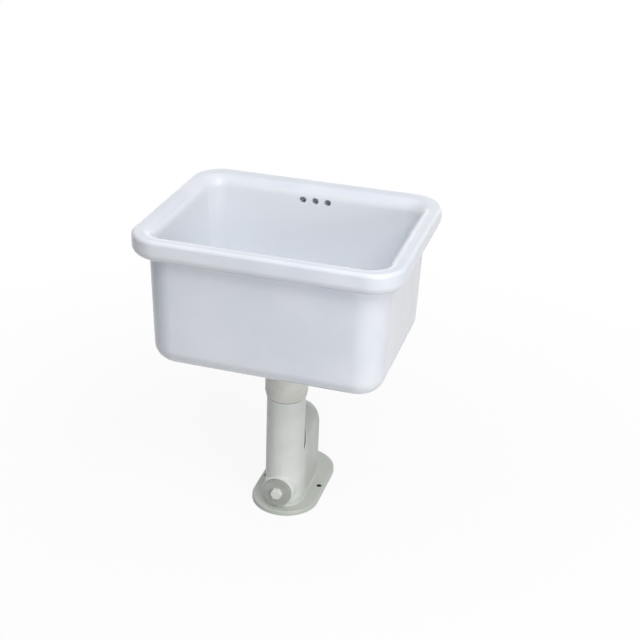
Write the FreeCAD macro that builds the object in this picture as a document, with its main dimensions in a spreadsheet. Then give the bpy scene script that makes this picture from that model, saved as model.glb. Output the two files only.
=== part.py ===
import FreeCAD, Part
import math
import os
from types import SimpleNamespace

import Sketcher

# Mop service sink: a china basin on one cast-iron trap, with its waste, seals and cleanout.
# Frame: millimetres, origin on the floor under the inlet pipe's axis, +Z up, +X to the right of
# a person at the sink and -Y towards that person.

SIZES = {
    # basin, outside
    "overall_height": 623.0,
    "rim_length": 500.0,
    "rim_width": 400.0,
    "rim_corner": 62.0,
    "rim_depth": 42.0,
    "rim_top_round": 7.5,
    "rim_under_round": 18.0,
    "rim_root_round": 3.0,
    "rim_overhang": 25.0,
    "basin_height": 261.0,
    "wall_lean": 6.5,
    "body_corner": 56.0,
    "base_round": 35.0,
    # basin, inside
    "side_wall": 13.0,
    "back_wall": 20.0,
    "floor_thickness": 24.0,
    "cavity_lean": 7.0,
    "cavity_corner": 32.0,
    "lip_round": 25.0,
    "floor_round": 22.0,
    # overflow
    "overflow_bore": 12.0,
    "overflow_pitch": 25.0,
    "overflow_drop": 27.5,
    "duct_width": 80.0,
    "duct_gap": 8.0,
    "duct_cover": 7.5,
    "duct_headroom": 8.0,
    # waste outlet
    "drain_bore": 64.0,
    "seat_radius": 47.0,
    "seat_depth": 4.0,
    "tail_radius": 25.0,
    "tail_wall": 3.5,
    "waste_radius": 45.0,
    "waste_rim": 3.0,
    "waste_cup_depth": 3.0,
    "waste_cone_depth": 5.5,
    "waste_cup_clearance": 0.9,
    "waste_throat_wall": 3.6,
    "waste_slot_width": 12.5,
    "waste_slot_margin": 1.0,
    "grate_radius": 28.2,
    "grate_thickness": 2.4,
    "grate_edge": 0.8,
    "grate_ledge": 3.6,
    "grate_ring_pitch": 9.6,
    "grate_bore": 6.2,
    "flange_seal_thickness": 1.5,
    "basin_seal_thickness": 5.0,
    "basin_seal_setback": 1.5,
    "slip_washer_thickness": 1.5,
    "nut_across_flats": 58.0,
    "nut_height": 12.0,
    # collar and the pipe's mouth
    "collar_radius": 42.0,
    "collar_length": 107.0,
    "collar_flange": 8.0,
    "collar_nose": 11.0,
    "collar_nose_wall": 1.2,
    "collar_shoulder_drop": 32.0,
    "collar_shoulder_radius": 34.5,
    "seal_flange": 3.0,
    "seal_bush": 18.0,
    # trap
    "pipe_radius": 38.0,
    "iron_wall": 5.0,
    "up_leg_offset": 63.5,
    "down_leg_offset": 105.8,
    "leg_height": 123.5,
    "crown_root_round": 3.0,
    "dip_level": 62.0,
    "weir_level": 128.0,
    "sump_floor": 17.0,
    # floor flange
    "flange_half_width": 68.0,
    "flange_front": 11.5,
    "flange_rear": 121.5,
    "flange_thickness": 9.5,
    "flange_edge_round": 3.0,
    "foot_round": 4.3,
    "bolt_bore": 10.0,
    "bolt_offset_x": 57.0,
    "bolt_offset_y": 60.0,
    "bolt_bevel": 1.2,
    "outlet_radius": 31.0,
    "floor_seal_inside": 36.0,
    "floor_seal_width": 7.0,
    "floor_seal_depth": 3.0,
    # cleanout
    "boss_radius": 33.2,
    "boss_reach": 43.0,
    "boss_round": 3.5,
    "cleanout_height": 47.5,
    "plug_thread_radius": 23.0,
    "plug_thread_length": 10.0,
    "plug_flange_radius": 29.0,
    "plug_flange_thickness": 4.0,
    "plug_edge_round": 1.2,
    "plug_hex_flats": 21.0,
    "plug_hex_height": 8.5,
    "gasket_thickness": 1.5,
    "gasket_setback": 0.6,
    # clearances on the radius
    "thread_clearance": 0.08,
    "loose_clearance": 0.3,
}

doc = FreeCAD.newDocument("MopServiceSink")
sheet = doc.addObject("Spreadsheet::Sheet", "Sizes")
for row, (alias, number) in enumerate(SIZES.items(), 1):
    sheet.set(f"A{row}", alias)
    sheet.set(f"B{row}", str(number))
    sheet.setAlias(f"B{row}", alias)
doc.recompute()


class Size:
    """A length that carries both its number and the spreadsheet formula that gives it."""

    def __init__(self, number, formula):
        self.number = number
        self.formula = formula

    def __add__(self, other):
        other = as_size(other)
        return Size(self.number + other.number, f"({self.formula} + {other.formula})")

    def __sub__(self, other):
        other = as_size(other)
        return Size(self.number - other.number, f"({self.formula} - {other.formula})")

    def __mul__(self, other):
        other = as_size(other)
        return Size(self.number * other.number, f"({self.formula} * {other.formula})")

    def __truediv__(self, other):
        other = as_size(other)
        return Size(self.number / other.number, f"({self.formula} / {other.formula})")

    def __neg__(self):
        return Size(-self.number, f"(0 - {self.formula})")


def as_size(item):
    if isinstance(item, Size):
        return item
    return Size(float(item), str(float(item)))


size = SimpleNamespace(**{alias: Size(number, f"Sizes.{alias}") for alias, number in SIZES.items()})
NOTHING = as_size(0)
PASSAGE_FLATS = 6    # a hidden round passage is drawn with this many flats
LEAST_WALL = 1.0     # mm; a lower face isn't one of a basin's walls
LEAST_CUT = 1.0      # mm3; a cut that takes less away has missed
bodies = []


# ---------------------------------------------------------------- ways of making a feature

def new_body(name):
    body = doc.addObject("PartDesign::Body", name)
    body.Label = name
    bodies.append(body)
    return body


def sketch_on(body, role, name, offset=NOTHING):
    """A sketch on an origin plane of its own body, moved along that plane's normal."""
    sketch = body.newObject("Sketcher::SketchObject", f"{body.Name}_{name}")
    plane = next(part for part in body.Origin.OriginFeatures if part.Role == role)
    sketch.AttachmentSupport = [(plane, "")]
    sketch.MapMode = "FlatFace"
    sketch.setExpression("AttachmentOffset.Base.z", offset.formula)
    return sketch


def constrain(sketch, *terms):
    return sketch.addConstraint(Sketcher.Constraint(*terms))


def bind(sketch, kind, terms, length):
    """A dimension whose value follows the spreadsheet."""
    number = constrain(sketch, kind, *terms, length.number)
    sketch.setExpression(f"Constraints[{number}]", length.formula)


def fix_point(sketch, geometry, vertex, x, y):
    bind(sketch, "DistanceX", (-1, 1, geometry, vertex), x)
    bind(sketch, "DistanceY", (-1, 1, geometry, vertex), y)


def vector(x, y):
    return FreeCAD.Vector(x.number, y.number, 0)


def circle(sketch, x, y, radius):
    ring = Part.Circle(vector(x, y), FreeCAD.Vector(0, 0, 1), radius.number)
    geometry = sketch.addGeometry(ring, False)
    fix_point(sketch, geometry, 3, x, y)
    bind(sketch, "Radius", (geometry,), radius)


def outline(sketch, points, arc_centres=None):
    """A closed outline through the points. arc_centres gives, for a side's number, the centre of
    the quarter arc that the side follows; its other sides are straight."""
    arc_centres = arc_centres or {}
    count = len(points)
    ends = []
    for side in range(count):
        start = vector(*points[side])
        end = vector(*points[(side + 1) % count])
        if side in arc_centres:
            centre = vector(*arc_centres[side])
            leftwards = (start - centre).cross(end - centre).z > 0
            first, last = (start, end) if leftwards else (end, start)
            angles = [math.atan2(point.y - centre.y, point.x - centre.x) for point in (first, last)]
            ring = Part.Circle(centre, FreeCAD.Vector(0, 0, 1), (start - centre).Length)
            sketch.addGeometry(Part.ArcOfCircle(ring, angles[0], angles[1] % (2 * math.pi)), False)
            ends.append((1, 2) if leftwards else (2, 1))
        else:
            sketch.addGeometry(Part.LineSegment(start, end), False)
            ends.append((1, 2))
    for side in range(count):
        following = (side + 1) % count
        constrain(sketch, "Coincident", side, ends[side][1], following, ends[following][0])
    for side in range(count):
        fix_point(sketch, side, ends[side][0], *points[side])
    for side, centre in arc_centres.items():
        bind(sketch, "DistanceX", (-1, 1, side, 3), centre[0])


def rounded_rectangle(sketch, half_x, front, back, corner):
    """Corners rounded to one radius; front and back are the sides' distances from the origin."""
    inner_x = half_x - corner
    low = -(front - corner)
    high = back - corner
    corners = [(-half_x, low), (-inner_x, -front), (inner_x, -front), (half_x, low),
               (half_x, high), (inner_x, back), (-inner_x, back), (-half_x, high)]
    centres = {0: (-inner_x, low), 2: (inner_x, low), 4: (inner_x, high), 6: (-inner_x, high)}
    outline(sketch, corners, centres)


def obround(sketch, half_width, front_centre, rear_centre):
    """Two half rounds joined by straight sides, long along Y."""
    corners = [(-half_width, front_centre), (NOTHING, front_centre - half_width),
               (half_width, front_centre), (half_width, rear_centre),
               (NOTHING, rear_centre + half_width), (-half_width, rear_centre)]
    centres = {0: (NOTHING, front_centre), 1: (NOTHING, front_centre),
               3: (NOTHING, rear_centre), 4: (NOTHING, rear_centre)}
    outline(sketch, corners, centres)


def hexagon(sketch, x, y, across_flats):
    corner = across_flats / (3 ** 0.5)
    turns = [(1, 0), (0.5, 1), (-0.5, 1), (-1, 0), (-0.5, -1), (0.5, -1)]
    outline(sketch, [(x + corner * along, y + across_flats * (up * 0.5)) for along, up in turns])


def feature(body, kind, name, profile):
    item = body.newObject(f"PartDesign::{kind}", f"{body.Name}_{name}")
    item.Profile = profile
    profile.Visibility = False
    return item


def pad(body, profile, length, name, reverse=False):
    item = feature(body, "Pad", name, profile)
    item.setExpression("Length", length.formula)
    item.Reversed = reverse
    doc.recompute()
    return item


def must_cut(body, item, volume_before):
    doc.recompute()
    if item.Shape.Volume > volume_before - LEAST_CUT:
        raise RuntimeError(f"{item.Name} in {body.Name} removes nothing")
    return item


def pocket(body, profile, length, name, reverse=False, both_ways=False):
    before = body.Shape.Volume
    item = feature(body, "Pocket", name, profile)
    item.setExpression("Length", length.formula)
    item.Reversed = reverse
    item.Midplane = both_ways
    return must_cut(body, item, before)


def turn(body, profile, name, axis="V_Axis", angle=360, kind="Revolution", reverse=False):
    before = body.Shape.Volume if kind == "Groove" else 0
    item = feature(body, kind, name, profile)
    item.ReferenceAxis = (profile, [axis])
    item.Angle = angle
    item.Reversed = reverse
    if kind == "Groove":
        return must_cut(body, item, before)
    doc.recompute()
    return item


def lean_walls(body, wide_level, narrow_level, slope, name, reverse=False):
    """Leans the upright faces round the flat face at the narrow level inwards, by the slope. They
    keep their place at the wide level."""
    shape = body.Shape
    foot = flat_loop(shape, "z", narrow_level.number)
    foot_edges = [shape.Edges[int(edge[4:]) - 1] for edge in foot]
    walls = []
    for number, face in enumerate(shape.Faces, 1):
        upright = face.BoundBox.ZLength > LEAST_WALL
        if upright and any(edge.isSame(own) for own in face.Edges for edge in foot_edges):
            walls.append(f"Face{number}")
    level = next(f"Face{number}" for number, face in enumerate(shape.Faces, 1)
                 if isinstance(face.Surface, Part.Plane)
                 and max(abs(face.BoundBox.ZMin - wide_level.number),
                         abs(face.BoundBox.ZMax - wide_level.number)) < 1e-3)
    item = body.newObject("PartDesign::Draft", f"{body.Name}_{name}")
    base = item.BaseFeature
    item.Base = (base, walls)
    item.NeutralPlane = (base, [level])
    item.setExpression("Angle", f"atan({slope.formula})")
    item.Reversed = reverse
    doc.recompute()
    return item


def soften(body, edges, radius, name, kind="Fillet"):
    """Rounds or bevels the named edges of the body as it stands."""
    item = body.newObject(f"PartDesign::{kind}", f"{body.Name}_{name}")
    item.Base = (body.Tip if body.Tip != item else item.BaseFeature, edges)
    item.setExpression("Radius" if kind == "Fillet" else "Size", radius.formula)
    doc.recompute()
    return item


def flat_loop(shape, axis, level, holes=False):
    """Names of the edges round the largest flat face that stands at this level of the axis:
    round its outside, or round its holes."""
    faces = []
    for face in shape.Faces:
        box = face.BoundBox
        low, high = {"y": (box.YMin, box.YMax), "z": (box.ZMin, box.ZMax)}[axis]
        if isinstance(face.Surface, Part.Plane) and max(abs(low - level), abs(high - level)) < 1e-3:
            faces.append(face)
    face = max(faces, key=lambda item: item.Area)
    wires = [wire for wire in face.Wires if wire.isSame(face.OuterWire) != holes]
    wanted = [edge for wire in wires for edge in wire.Edges]
    return [f"Edge{number}" for number, edge in enumerate(shape.Edges, 1)
            if any(edge.isSame(other) for other in wanted)]


def round_edges_at(shape, radius, level):
    """Names of the full circles of this radius at this height."""
    names = []
    for number, edge in enumerate(shape.Edges, 1):
        if isinstance(edge.Curve, Part.Circle) and abs(edge.Curve.Radius - radius) < 1e-3:
            if abs(edge.Curve.Center.z - level) < 1e-3:
                names.append(f"Edge{number}")
    return names


def mitre_edges(shape, top):
    """Names of the slanting half ellipses, up to this height, where two equal round forms meet."""
    return [f"Edge{number}" for number, edge in enumerate(shape.Edges, 1)
            if isinstance(edge.Curve, Part.Ellipse) and abs(edge.BoundBox.ZMax - top) < 1e-3]


def turned_piece(name, profile_points):
    """A piece turned about the vertical axis from its half section."""
    body = new_body(name)
    section = sketch_on(body, "XZ_Plane", "section")
    outline(section, profile_points)
    turn(body, section, "turned")
    return body


# ---------------------------------------------------------------- levels shared by the pieces

basin_base = size.overall_height - size.basin_height
rim_underside = size.overall_height - size.rim_depth
basin_floor = basin_base + size.floor_thickness
seat_level = basin_floor - size.seat_depth
drain_radius = size.drain_bore / 2

waste_level = seat_level + size.flange_seal_thickness
waste_top = waste_level + size.waste_rim

collar_top = basin_base - size.basin_seal_thickness
collar_under = collar_top - size.collar_flange
collar_base = collar_top - size.collar_length
shoulder_level = collar_top - size.collar_shoulder_drop
washer_under = collar_under - size.slip_washer_thickness
nut_under = washer_under - size.nut_height
pipe_top = shoulder_level - size.seal_flange
bush_base = pipe_top - size.seal_bush
tail_base = bush_base - size.waste_rim

passage_radius = size.pipe_radius - size.iron_wall
crown_centre = (size.up_leg_offset + size.down_leg_offset) / 2
crown_half = (size.down_leg_offset - size.up_leg_offset) / 2
crown_top = size.leg_height + crown_half + size.pipe_radius


# ---------------------------------------------------------------- basin

def basin_outside(body):
    """Leaning walls under a heavy overhanging rim, every outer edge well rounded."""
    half_x = size.rim_length / 2 - size.rim_overhang
    half_y = size.rim_width / 2 - size.rim_overhang
    wall_run = rim_underside - basin_base
    neck = sketch_on(body, "XY_Plane", "neck", rim_underside)
    rounded_rectangle(neck, half_x, half_y, half_y, size.body_corner)
    pad(body, neck, wall_run, "walls", reverse=True)
    lean_walls(body, rim_underside, basin_base, size.wall_lean / wall_run, "walls_lean", reverse=True)
    rim = sketch_on(body, "XY_Plane", "rim", rim_underside)
    rounded_rectangle(rim, size.rim_length / 2, size.rim_width / 2, size.rim_width / 2, size.rim_corner)
    pad(body, rim, size.rim_depth, "rim_block")
    soften(body, flat_loop(body.Shape, "z", basin_base.number), size.base_round, "base_rounding")
    soften(body, flat_loop(body.Shape, "z", rim_underside.number), size.rim_under_round, "rim_lower_edge")
    soften(body, flat_loop(body.Shape, "z", rim_underside.number, True), size.rim_root_round, "rim_root")
    soften(body, flat_loop(body.Shape, "z", size.overall_height.number), size.rim_top_round,
           "rim_upper_edge")


def basin_inside(body):
    """The bowl; its back wall is thicker than the others, to hold the overflow duct."""
    half_x = size.rim_length / 2 - size.rim_overhang - size.side_wall
    front = size.rim_width / 2 - size.rim_overhang - size.side_wall
    back = size.rim_width / 2 - size.rim_overhang - size.back_wall
    depth = size.overall_height - basin_floor
    mouth = sketch_on(body, "XY_Plane", "mouth", size.overall_height)
    rounded_rectangle(mouth, half_x, front, back, size.cavity_corner)
    pocket(body, mouth, depth, "bowl")
    lean_walls(body, size.overall_height, basin_floor, size.cavity_lean / depth, "bowl_lean")
    soften(body, flat_loop(body.Shape, "z", basin_floor.number), size.floor_round, "floor_rounding")
    soften(body, flat_loop(body.Shape, "z", size.overall_height.number, True), size.lip_round, "lip")


def basin_outlet(body):
    seat = sketch_on(body, "XY_Plane", "seat", basin_floor)
    circle(seat, NOTHING, NOTHING, size.seat_radius)
    pocket(body, seat, size.seat_depth, "waste_seat")
    hole = sketch_on(body, "XY_Plane", "hole", basin_floor)
    circle(hole, NOTHING, NOTHING, drain_radius)
    pocket(body, hole, size.floor_thickness, "drain_hole")


def basin_overflow(body):
    """A duct cast in the back wall: down from three holes, round the base and into the drain hole."""
    wall_back = size.rim_width / 2 - size.rim_overhang
    wall_run = rim_underside - basin_base
    turn_level = basin_base + size.base_round
    lean_per_height = size.wall_lean / wall_run
    turn_y = wall_back - lean_per_height * (rim_underside - turn_level) - size.base_round
    outer_radius = size.base_round - size.duct_cover
    inner_radius = outer_radius - size.duct_gap
    hole_level = size.overall_height - size.overflow_drop
    duct_top = hole_level + size.duct_headroom
    top_shift = lean_per_height * (duct_top - turn_level)
    duct_start = drain_radius - size.duct_gap
    profile = sketch_on(body, "YZ_Plane", "duct_path")
    points = [(turn_y + outer_radius + top_shift, duct_top),
              (turn_y + outer_radius, turn_level),
              (turn_y, turn_level - outer_radius),
              (duct_start, turn_level - outer_radius),
              (duct_start, turn_level - inner_radius),
              (turn_y, turn_level - inner_radius),
              (turn_y + inner_radius, turn_level),
              (turn_y + inner_radius + top_shift, duct_top)]
    outline(profile, points, {1: (turn_y, turn_level), 5: (turn_y, turn_level)})
    pocket(body, profile, size.duct_width, "duct", both_ways=True)
    first = sketch_on(body, "XZ_Plane", "first_hole")
    circle(first, -size.overflow_pitch, hole_level, size.overflow_bore / 2)
    hole_reach = turn_y + inner_radius + top_shift + size.duct_gap / 2
    hole = pocket(body, first, hole_reach, "overflow_hole")
    row = body.newObject("PartDesign::LinearPattern", "basin_overflow_row")
    row.Originals = [hole]
    row.Direction = (first, ["H_Axis"])
    row.setExpression("Length", (size.overflow_pitch * 2).formula)
    row.Occurrences = 3
    body.Tip = row
    doc.recompute()


basin = new_body("basin")
basin_outside(basin)
basin_inside(basin)
basin_outlet(basin)
basin_overflow(basin)


# ---------------------------------------------------------------- waste outlet

tail_bore = size.tail_radius - size.tail_wall
cup_radius = drain_radius - size.waste_cup_clearance
ledge_level = waste_level + size.loose_clearance
ledge_outer = size.grate_radius + size.loose_clearance
ledge_inner = size.grate_radius - size.grate_ledge
cup_base = waste_level - size.waste_cup_depth
throat_level = cup_base - size.waste_cone_depth
waste_round = size.waste_rim / 2

waste_flange = turned_piece("waste_flange", [
    (tail_bore, tail_base),
    (size.tail_radius, tail_base),
    (size.tail_radius, throat_level),
    (cup_radius, cup_base),
    (cup_radius, waste_level),
    (size.waste_radius, waste_level),
    (size.waste_radius, waste_top - waste_round),
    (size.waste_radius - waste_round, waste_top),
    (ledge_outer, waste_top),
    (ledge_outer, ledge_level),
    (ledge_inner, ledge_level),
    (tail_bore, throat_level + size.waste_throat_wall),
])

overflow_slot = sketch_on(waste_flange, "YZ_Plane", "overflow_slot")
slot_half = size.waste_slot_width / 2
slot_low = basin_base + size.waste_slot_margin
slot_high = throat_level - size.waste_slot_margin
outline(overflow_slot, [(-slot_half, slot_low), (slot_half, slot_low), (slot_half, slot_high),
                        (-slot_half, slot_high)])
slot_pair = pocket(waste_flange, overflow_slot, size.drain_bore, "slot_pair", both_ways=True)
slots = waste_flange.newObject("PartDesign::PolarPattern", "waste_flange_slots")
slots.Originals = [slot_pair]
slots.Axis = (overflow_slot, ["V_Axis"])
slots.Angle = 90
slots.Occurrences = 2
waste_flange.Tip = slots
doc.recompute()


def make_grate():
    """A round plate with rings of holes that lies loose on the ledge of the waste."""
    under = ledge_level
    top = under + size.grate_thickness
    edge = size.grate_edge
    body = turned_piece("strainer_grate", [
        (NOTHING, under),
        (size.grate_radius - edge, under),
        (size.grate_radius, under + edge),
        (size.grate_radius, top - edge),
        (size.grate_radius - edge, top),
        (NOTHING, top),
    ])
    centre_hole = sketch_on(body, "XY_Plane", "centre_hole", top)
    circle(centre_hole, NOTHING, NOTHING, size.grate_bore / 2)
    pocket(body, centre_hole, size.grate_thickness, "centre_bore")
    for ring, count in enumerate((6, 12), 1):
        start = sketch_on(body, "XY_Plane", f"ring_{ring}", top)
        circle(start, size.grate_ring_pitch * ring, NOTHING, size.grate_bore / 2)
        first = pocket(body, start, size.grate_thickness, f"ring_bore_{ring}")
        pattern = body.newObject("PartDesign::PolarPattern", f"strainer_ring_{ring}")
        pattern.Originals = [first]
        pattern.Axis = (start, ["N_Axis"])
        pattern.Angle = 360
        pattern.Occurrences = count
        body.Tip = pattern
        doc.recompute()
    return body


make_grate()

turned_piece("flange_seal", [
    (drain_radius, seat_level),
    (size.waste_radius, seat_level),
    (size.waste_radius, waste_level),
    (drain_radius, waste_level),
])

seal_inside = size.tail_radius + size.loose_clearance
turned_piece("basin_seal", [
    (seal_inside, collar_top),
    (size.collar_radius - size.basin_seal_setback, collar_top),
    (size.collar_radius - size.basin_seal_setback, basin_base),
    (seal_inside, basin_base),
])

washer_outside = size.collar_shoulder_radius - size.loose_clearance
turned_piece("slip_washer", [
    (seal_inside, washer_under),
    (washer_outside, washer_under),
    (washer_outside, collar_under),
    (seal_inside, collar_under),
])

locknut = new_body("waste_locknut")
nut_shape = sketch_on(locknut, "XY_Plane", "flats", nut_under)
hexagon(nut_shape, NOTHING, NOTHING, size.nut_across_flats)
pad(locknut, nut_shape, size.nut_height, "blank")
nut_bore = sketch_on(locknut, "XY_Plane", "thread", washer_under)
circle(nut_bore, NOTHING, NOTHING, size.tail_radius + size.thread_clearance)
pocket(locknut, nut_bore, size.nut_height, "thread_bore")


# ---------------------------------------------------------------- collar and the pipe's mouth

socket_radius = size.pipe_radius + size.loose_clearance

turned_piece("connecting_collar", [
    (seal_inside, collar_top),
    (seal_inside, collar_under),
    (size.collar_shoulder_radius, collar_under),
    (size.collar_shoulder_radius, shoulder_level),
    (socket_radius, shoulder_level),
    (socket_radius, collar_base),
    (socket_radius + size.collar_nose_wall, collar_base),
    (size.collar_radius, collar_base + size.collar_nose),
    (size.collar_radius, collar_top),
])

turned_piece("spigot_seal", [
    (seal_inside, bush_base),
    (passage_radius, bush_base),
    (passage_radius, pipe_top),
    (size.pipe_radius, pipe_top),
    (size.pipe_radius, shoulder_level),
    (seal_inside, shoulder_level),
])


# ---------------------------------------------------------------- trap

def trap_outside(body):
    """Inlet pipe, U-bend body, round-topped crown and obround floor flange, in one casting."""
    base = sketch_on(body, "XY_Plane", "flange")
    obround(base, size.flange_half_width, size.flange_front, size.flange_rear)
    pad(body, base, size.flange_thickness, "flange_plate")
    legs = sketch_on(body, "XY_Plane", "legs")
    obround(legs, size.pipe_radius, NOTHING, size.down_leg_offset)
    pad(body, legs, size.leg_height, "legs_block")
    pipe = sketch_on(body, "XY_Plane", "pipe")
    circle(pipe, NOTHING, NOTHING, size.pipe_radius)
    pad(body, pipe, pipe_top, "inlet_pipe")
    soften(body, flat_loop(body.Shape, "z", size.flange_thickness.number, True), size.foot_round,
           "foot_rounding")
    soften(body, flat_loop(body.Shape, "z", size.flange_thickness.number), size.flange_edge_round,
           "flange_edge")


def d_section(section, radius, flat_line, round_line, flats):
    """A straight base, two straight sides and a round side, which a hidden passage has in flats."""
    corners = [(-radius, flat_line), (radius, flat_line)]
    if flats:
        for angle in range(0, 181, 180 // flats):
            turned = math.radians(angle)
            corners.append((radius * math.cos(turned), round_line + radius * math.sin(turned)))
        outline(section, corners)
    else:
        corners += [(radius, round_line), (NOTHING, round_line + radius), (-radius, round_line)]
        outline(section, corners, {2: (NOTHING, round_line), 3: (NOTHING, round_line)})


def crown(body, radius, name, flats=0):
    """The crown runs level from the inlet pipe to the middle of the legs, and turns down behind.
    With flats it is cut as a passage, because nothing shows in there."""
    run = sketch_on(body, "XZ_Plane", f"{name}_run_section")
    d_section(run, radius, size.leg_height, size.leg_height + crown_half, flats)
    if flats:
        pocket(body, run, crown_centre, f"{name}_run")
    else:
        pad(body, run, crown_centre, f"{name}_run", reverse=True)
    section = sketch_on(body, "XY_Plane", f"{name}_section", size.leg_height)
    d_section(section, radius, crown_centre, crown_centre + crown_half, flats)
    section.addGeometry(Part.LineSegment(FreeCAD.Vector(-radius.number, crown_centre.number, 0),
                                         FreeCAD.Vector(radius.number, crown_centre.number, 0)), True)
    line = len(section.Geometry) - 1
    fix_point(section, line, 1, -radius, crown_centre)
    fix_point(section, line, 2, radius, crown_centre)
    return turn(body, section, name, "Axis0", 90, "Groove" if flats else "Revolution")


def trap_passages(body):
    """The water's way: down the inlet, under the dip, over the weir and down to the floor."""
    chamber = sketch_on(body, "XY_Plane", "chamber", size.leg_height)
    obround(chamber, passage_radius, NOTHING, size.down_leg_offset)
    pocket(body, chamber, size.leg_height - size.sump_floor, "leg_passages")
    crown(body, passage_radius, "crown_passage", PASSAGE_FLATS)
    dip = sketch_on(body, "XY_Plane", "dip", size.dip_level)
    circle(dip, NOTHING, NOTHING, size.pipe_radius)
    pad(body, dip, crown_top - size.dip_level, "dip_wall")
    weir = sketch_on(body, "XY_Plane", "weir", size.sump_floor - size.iron_wall / 2)
    half = passage_radius + size.iron_wall / 2
    near = crown_centre - size.iron_wall / 2
    far = crown_centre + size.iron_wall / 2
    outline(weir, [(-half, near), (half, near), (half, far), (-half, far)])
    pad(body, weir, size.weir_level - size.sump_floor + size.iron_wall / 2, "weir_wall")
    inlet = sketch_on(body, "XY_Plane", "inlet", pipe_top)
    circle(inlet, NOTHING, NOTHING, passage_radius)
    pocket(body, inlet, pipe_top - size.sump_floor, "inlet_passage")
    outlet = sketch_on(body, "XY_Plane", "outlet")
    circle(outlet, NOTHING, size.down_leg_offset, size.outlet_radius)
    pocket(body, outlet, size.sump_floor - size.iron_wall, "outlet_socket", reverse=True)
    drop = sketch_on(body, "XY_Plane", "drop")
    near_wall = crown_centre + size.iron_wall / 2
    rear_wall = size.down_leg_offset + passage_radius
    circle(drop, NOTHING, (near_wall + rear_wall) / 2, (rear_wall - near_wall) / 2 - size.loose_clearance)
    pocket(body, drop, size.sump_floor + size.iron_wall, "outlet_drop", reverse=True)


def flange_details(body):
    groove = sketch_on(body, "XY_Plane", "seal_groove")
    circle(groove, NOTHING, size.down_leg_offset, size.floor_seal_inside)
    circle(groove, NOTHING, size.down_leg_offset, size.floor_seal_inside + size.floor_seal_width)
    pocket(body, groove, size.floor_seal_depth, "seal_groove_cut", reverse=True)
    bolt = sketch_on(body, "XY_Plane", "bolt")
    circle(bolt, size.bolt_offset_x, size.bolt_offset_y, size.bolt_bore / 2)
    circle(bolt, -size.bolt_offset_x, size.bolt_offset_y, size.bolt_bore / 2)
    pocket(body, bolt, size.flange_thickness, "bolt_holes", reverse=True)
    mouths = round_edges_at(body.Shape, size.bolt_bore.number / 2, size.flange_thickness.number)
    soften(body, mouths, size.bolt_bevel, "bolt_bevels", "Chamfer")


def cleanout_boss(body):
    boss = sketch_on(body, "XZ_Plane", "boss")
    circle(boss, NOTHING, size.cleanout_height, size.boss_radius)
    pad(body, boss, size.boss_reach, "boss_block")
    soften(body, flat_loop(body.Shape, "y", -size.boss_reach.number), size.boss_round, "boss_edge")


def cleanout_bore(body):
    bore = sketch_on(body, "XZ_Plane", "cleanout", size.boss_reach)
    circle(bore, NOTHING, size.cleanout_height, size.plug_thread_radius)
    pocket(body, bore, size.boss_reach, "cleanout_thread")


trap_casting = new_body("trap_casting")
trap_outside(trap_casting)
crown(trap_casting, size.pipe_radius, "crown")
cleanout_boss(trap_casting)
trap_passages(trap_casting)
flange_details(trap_casting)
cleanout_bore(trap_casting)
soften(trap_casting, mitre_edges(trap_casting.Shape, crown_top.number), size.crown_root_round,
       "crown_root")

floor_seal = new_body("floor_seal")
seal_ring = sketch_on(floor_seal, "XY_Plane", "ring")
circle(seal_ring, NOTHING, size.down_leg_offset, size.floor_seal_inside + size.loose_clearance)
circle(seal_ring, NOTHING, size.down_leg_offset,
       size.floor_seal_inside + size.floor_seal_width - size.loose_clearance)
pad(floor_seal, seal_ring, size.floor_seal_depth, "ring_block")


# ---------------------------------------------------------------- cleanout plug

gasket_face = size.boss_reach + size.gasket_thickness
flange_face = gasket_face + size.plug_flange_thickness

gasket = new_body("cleanout_gasket")
gasket_ring = sketch_on(gasket, "XZ_Plane", "ring", size.boss_reach)
circle(gasket_ring, NOTHING, size.cleanout_height, size.plug_thread_radius + size.loose_clearance)
circle(gasket_ring, NOTHING, size.cleanout_height, size.plug_flange_radius - size.gasket_setback)
pad(gasket, gasket_ring, size.gasket_thickness, "ring_block")

plug = new_body("cleanout_plug")
plug_flange = sketch_on(plug, "XZ_Plane", "flange", gasket_face)
circle(plug_flange, NOTHING, size.cleanout_height, size.plug_flange_radius)
pad(plug, plug_flange, size.plug_flange_thickness, "flange_disc")
soften(plug, flat_loop(plug.Shape, "y", -flange_face.number), size.plug_edge_round, "flange_edge")
plug_hex = sketch_on(plug, "XZ_Plane", "hex", flange_face)
hexagon(plug_hex, NOTHING, size.cleanout_height, size.plug_hex_flats)
pad(plug, plug_hex, size.plug_hex_height, "hex_head")
hex_face = flange_face + size.plug_hex_height
soften(plug, flat_loop(plug.Shape, "y", -hex_face.number), size.plug_edge_round, "hex_bevel", "Chamfer")
plug_shank = sketch_on(plug, "XZ_Plane", "shank", gasket_face)
circle(plug_shank, NOTHING, size.cleanout_height, size.plug_thread_radius - size.thread_clearance)
pad(plug, plug_shank, size.plug_thread_length, "thread_shank", reverse=True)


# ---------------------------------------------------------------- check and export

doc.recompute()
for item in doc.Objects:
    if "Invalid" in item.State or "Error" in item.State:
        raise RuntimeError(f"{item.Name} failed: {item.State}")

os.makedirs("parts", exist_ok=True)
for body in bodies:
    if body.Shape.isNull() or not body.Shape.isValid():
        raise RuntimeError(f"{body.Label} has no valid shape")
for body in bodies:
    body.Shape.exportStep(f"parts/{body.Label}.step")
    box = body.Shape.BoundBox
    print(f"{body.Label:20s} solids {len(body.Shape.Solids)} volume {body.Shape.Volume:12.1f} "
          f"z {box.ZMin:7.2f} to {box.ZMax:7.2f}")
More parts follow.
